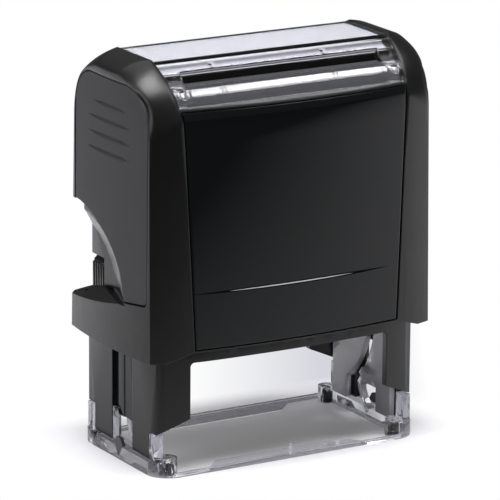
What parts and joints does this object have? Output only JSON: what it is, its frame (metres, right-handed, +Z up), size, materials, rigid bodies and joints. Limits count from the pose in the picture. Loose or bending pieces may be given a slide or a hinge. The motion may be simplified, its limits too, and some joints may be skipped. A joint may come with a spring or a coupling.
{
  "type": "self inking stamp",
  "caption": "Self-inking hand stamp: bowed black shell on a leg frame, clear top window with card, clear foot, text plate that turns over, pull-out ink cartridge.",
  "frame": {"origin": "on the table under the middle of the stamp", "axes": "+Z up, X along the length of the imprint, -Y towards the front with the glossy panel, +Y towards the back where the cartridge comes out"},
  "size_m": [0.0764, 0.0458, 0.0943],
  "materials": {
    "satin_black": "satin, fine grain",
    "matte_black": "matte, fine grain",
    "gloss_black": "high gloss",
    "clear_smoke": "clear, slightly smoky",
    "arm_grey": "satin",
    "card_white": "matt paper card",
    "foam_grey": "closed cell foam",
    "text_rubber": "matte rubber",
    "pad_felt": "ink soaked felt",
    "plug_rubber": "soft rubber",
    "mark_grey": "gloss",
    "pin_steel": "polished",
    "spring_steel": "drawn wire"
  },
  "bodies": {
    "frame": {"leg_frame": "satin_black", "clear_foot": "clear_smoke", "guide_plate_left": "clear_smoke", "guide_plate_right": "clear_smoke", "end_web_left": "gloss_black", "end_web_right": "gloss_black", "centre_mark_left": "mark_grey", "centre_mark_right": "mark_grey", "rubber_plug_front_left": "plug_rubber", "rubber_plug_front_right": "plug_rubber", "rubber_plug_back_left": "plug_rubber", "rubber_plug_back_right": "plug_rubber", "return_spring_left": "spring_steel", "return_spring_right": "spring_steel", "spring_peg_left": "satin_black", "spring_peg_right": "satin_black"},
    "shell": {"outer_shell": "satin_black", "front_panel": "gloss_black", "back_panel": "gloss_black", "side_panel_left": "matte_black", "side_panel_right": "matte_black", "index_card": "card_white", "shell_arm_left": "arm_grey", "shell_arm_right": "arm_grey"},
    "plate": {"plate_carrier": "satin_black", "axle_pin_left": "pin_steel", "axle_pin_right": "pin_steel", "plate_foam": "foam_grey", "text_plate": "text_rubber"},
    "cartridge": {"ink_tray": "satin_black", "ink_pad": "pad_felt", "cartridge_grip_left": "satin_black", "cartridge_grip_right": "satin_black"},
    "window": {"top_window": "clear_smoke"}
  },
  "joints": [
    {"name": "press", "type": "slide", "parent": "frame", "child": "shell", "axis": [0, 0, -1], "range_m": [0, 0.024], "stiffness_N_per_m": 300, "springref_m": -0.02, "deforming": ["return_spring_left", "return_spring_right"]},
    {"name": "plate_turn", "type": "hinge", "parent": "shell", "child": "plate", "pos_m": [0, 0, 0.0299], "axis": [1, 0, 0], "range_deg": [0, 180]},
    {"name": "cartridge_draw", "type": "slide", "parent": "frame", "child": "cartridge", "axis": [0, 1, 0], "range_m": [0, 0.0365]},
    {"name": "window_lift", "type": "slide", "parent": "shell", "child": "window", "axis": [0, 0, 1], "range_m": [0, 0.012]}
  ],
  "couplings": [
    {"joint": "plate_turn", "follows": "press", "rad_per_m": 130.89}
  ]
}
